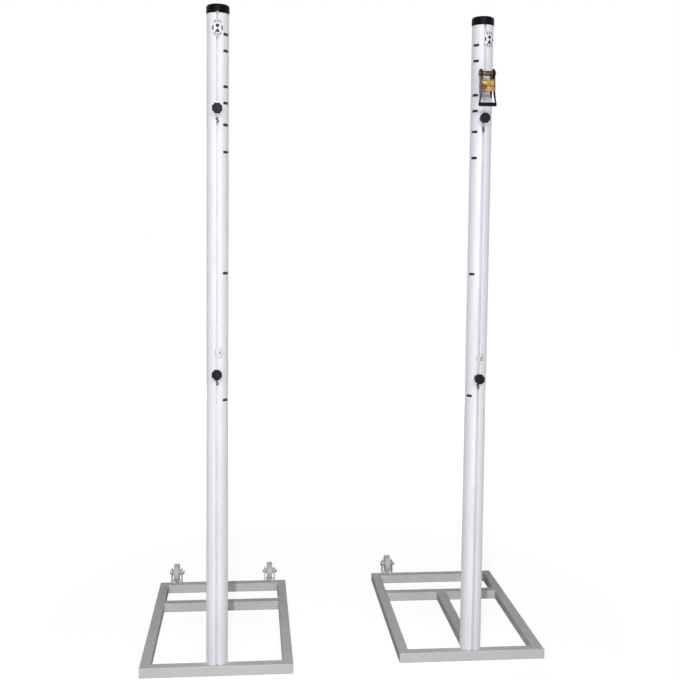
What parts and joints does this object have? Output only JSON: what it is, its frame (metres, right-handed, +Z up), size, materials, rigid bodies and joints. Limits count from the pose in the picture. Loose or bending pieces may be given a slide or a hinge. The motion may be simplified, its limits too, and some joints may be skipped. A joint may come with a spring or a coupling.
{
  "type": "volleyball net posts",
  "caption": "Free-standing net posts on wheeled steel floor frames, with slotted round tubes, sliding clamps, net hooks, star knobs and a strap ratchet that tensions a net line.",
  "frame": {"origin": "on the floor, under the middle of the pair's bounding box", "axes": "+X from the plain post to the post with the ratchet, +Y from the posts back to the wheels, +Z up along the posts"},
  "size_m": [1.605, 1.0308, 2.54],
  "materials": {
    "post_aluminium": "white-silver, satin, extruded",
    "cap_plastic": "black moulded",
    "frame_paint": "light grey powder coat",
    "bracket_zinc": "bright zinc",
    "bolt_zinc": "zinc, dulled",
    "wheel_nylon": "pale grey nylon",
    "wheel_tyre": "grey non-marking rubber",
    "clamp_steel": "zinc-plated",
    "shoe_rubber": "black, matt",
    "knob_plastic": "black moulded",
    "ratchet_gold": "yellow zinc",
    "grip_rubber": "black",
    "mark_red": "printed height marks",
    "mark_dark": "printed plain figures"
  },
  "bodies": {
    "left_stand": {"left_front_tube": "frame_paint", "left_rear_tube": "frame_paint", "left_inner_side_tube": "frame_paint", "left_outer_side_tube": "frame_paint", "left_cross_tube": "frame_paint", "left_centre_tube": "frame_paint", "left_post": "post_aluminium", "left_post_cap": "cap_plastic", "left_foot_spigot": "frame_paint", "left_foot_screws": "bolt_zinc", "left_wheel_brackets": "bracket_zinc", "left_axle_bolts": "bolt_zinc", "left_axle_nuts": "bolt_zinc"},
    "right_stand": {"right_front_tube": "frame_paint", "right_rear_tube": "frame_paint", "right_inner_side_tube": "frame_paint", "right_outer_side_tube": "frame_paint", "right_cross_tube": "frame_paint", "right_centre_tube": "frame_paint", "right_post": "post_aluminium", "right_post_cap": "cap_plastic", "right_foot_spigot": "frame_paint", "right_foot_screws": "bolt_zinc", "right_wheel_brackets": "bracket_zinc", "right_axle_bolts": "bolt_zinc", "right_axle_nuts": "bolt_zinc"},
    "left_outer_wheel": {"left_outer_wheel_core": "wheel_nylon", "left_outer_wheel_tyre": "wheel_tyre"},
    "left_inner_wheel": {"left_inner_wheel_core": "wheel_nylon", "left_inner_wheel_tyre": "wheel_tyre"},
    "left_upper_clamp": {"left_upper_slide_bolt": "clamp_steel", "left_upper_clamp_shoe": "shoe_rubber"},
    "left_upper_knob": {"left_upper_knob": "knob_plastic"},
    "left_lower_clamp": {"left_lower_slide_bolt": "clamp_steel", "left_lower_clamp_shoe": "shoe_rubber"},
    "left_lower_knob": {"left_lower_knob": "knob_plastic"},
    "right_outer_wheel": {"right_outer_wheel_core": "wheel_nylon", "right_outer_wheel_tyre": "wheel_tyre"},
    "right_inner_wheel": {"right_inner_wheel_core": "wheel_nylon", "right_inner_wheel_tyre": "wheel_tyre"},
    "right_upper_clamp": {"right_upper_slide_bolt": "clamp_steel", "right_upper_clamp_shoe": "shoe_rubber", "ratchet_mount_block": "clamp_steel", "ratchet_mount_screws": "bolt_zinc", "ratchet_frame": "ratchet_gold", "ratchet_anchor_bolt": "bolt_zinc"},
    "right_upper_knob": {"right_upper_knob": "knob_plastic"},
    "right_lower_clamp": {"right_lower_slide_bolt": "clamp_steel", "right_lower_clamp_shoe": "shoe_rubber"},
    "right_lower_knob": {"right_lower_knob": "knob_plastic"},
    "ratchet_spool": {"ratchet_spool_bars": "ratchet_gold", "ratchet_toothed_wheels": "ratchet_gold", "ratchet_split_pins": "bolt_zinc"},
    "ratchet_handle": {"ratchet_handle": "ratchet_gold", "ratchet_grip": "grip_rubber"},
    "ratchet_release": {"ratchet_release_plate": "ratchet_gold"},
    "ratchet_frame_pawl": {"ratchet_frame_pawl": "ratchet_gold"}
  },
  "joints": [
    {"name": "right_stand_shift", "type": "slide", "parent": "left_stand", "child": "right_stand", "axis": [1, 0, 0], "range_m": [0, 1]},
    {"name": "left_outer_wheel_spin", "type": "hinge", "parent": "left_stand", "child": "left_outer_wheel", "pos_m": [-0.7265, 0.4134, 0.087], "axis": [1, 0, 0], "continuous": true},
    {"name": "left_inner_wheel_spin", "type": "hinge", "parent": "left_stand", "child": "left_inner_wheel", "pos_m": [-0.2885, 0.4134, 0.087], "axis": [1, 0, 0], "continuous": true},
    {"name": "right_outer_wheel_spin", "type": "hinge", "parent": "right_stand", "child": "right_outer_wheel", "pos_m": [0.7265, 0.4754, 0.087], "axis": [1, 0, 0], "continuous": true},
    {"name": "right_inner_wheel_spin", "type": "hinge", "parent": "right_stand", "child": "right_inner_wheel", "pos_m": [0.2885, 0.4754, 0.087], "axis": [1, 0, 0], "continuous": true},
    {"name": "left_upper_clamp_slide", "type": "slide", "parent": "left_stand", "child": "left_upper_clamp", "axis": [0, 0, 1], "range_m": [-0.657, 0.243]},
    {"name": "left_upper_knob_turn", "type": "hinge", "parent": "left_upper_clamp", "child": "left_upper_knob", "pos_m": [-0.5075, -0.4859, 2.157], "axis": [0, -1, 0], "continuous": true},
    {"name": "left_lower_clamp_slide", "type": "slide", "parent": "left_stand", "child": "left_lower_clamp", "axis": [0, 0, 1], "range_m": [-0.822, 0.228]},
    {"name": "left_lower_knob_turn", "type": "hinge", "parent": "left_lower_clamp", "child": "left_lower_knob", "pos_m": [-0.5075, -0.4859, 1.172], "axis": [0, -1, 0], "continuous": true},
    {"name": "right_upper_clamp_slide", "type": "slide", "parent": "right_stand", "child": "right_upper_clamp", "axis": [0, 0, 1], "range_m": [-0.65, 0.115]},
    {"name": "right_upper_knob_turn", "type": "hinge", "parent": "right_upper_clamp", "child": "right_upper_knob", "pos_m": [0.5075, -0.4239, 2.15], "axis": [0, -1, 0], "continuous": true},
    {"name": "right_lower_clamp_slide", "type": "slide", "parent": "right_stand", "child": "right_lower_clamp", "axis": [0, 0, 1], "range_m": [-0.792, 0.258]},
    {"name": "right_lower_knob_turn", "type": "hinge", "parent": "right_lower_clamp", "child": "right_lower_knob", "pos_m": [0.5075, -0.4239, 1.142], "axis": [0, -1, 0], "continuous": true},
    {"name": "ratchet_handle_swing", "type": "hinge", "parent": "right_upper_clamp", "child": "ratchet_handle", "pos_m": [0.5075, -0.4616, 2.315], "axis": [-1, 0, 0], "range_deg": [0, 180]},
    {"name": "ratchet_spool_turn", "type": "hinge", "parent": "right_upper_clamp", "child": "ratchet_spool", "pos_m": [0.5075, -0.4616, 2.315], "axis": [1, 0, 0], "continuous": true},
    {"name": "ratchet_release_pull", "type": "slide", "parent": "ratchet_handle", "child": "ratchet_release", "axis": [0, -0.1305, -0.9914], "range_m": [0, 0.005], "stiffness_N_per_m": 400, "springref_m": -0.004},
    {"name": "ratchet_frame_pawl_travel", "type": "slide", "parent": "right_upper_clamp", "child": "ratchet_frame_pawl", "axis": [0, 0.9914, -0.1305], "range_m": [0, 0.0045], "stiffness_N_per_m": 250, "springref_m": -0.004}
  ]
}
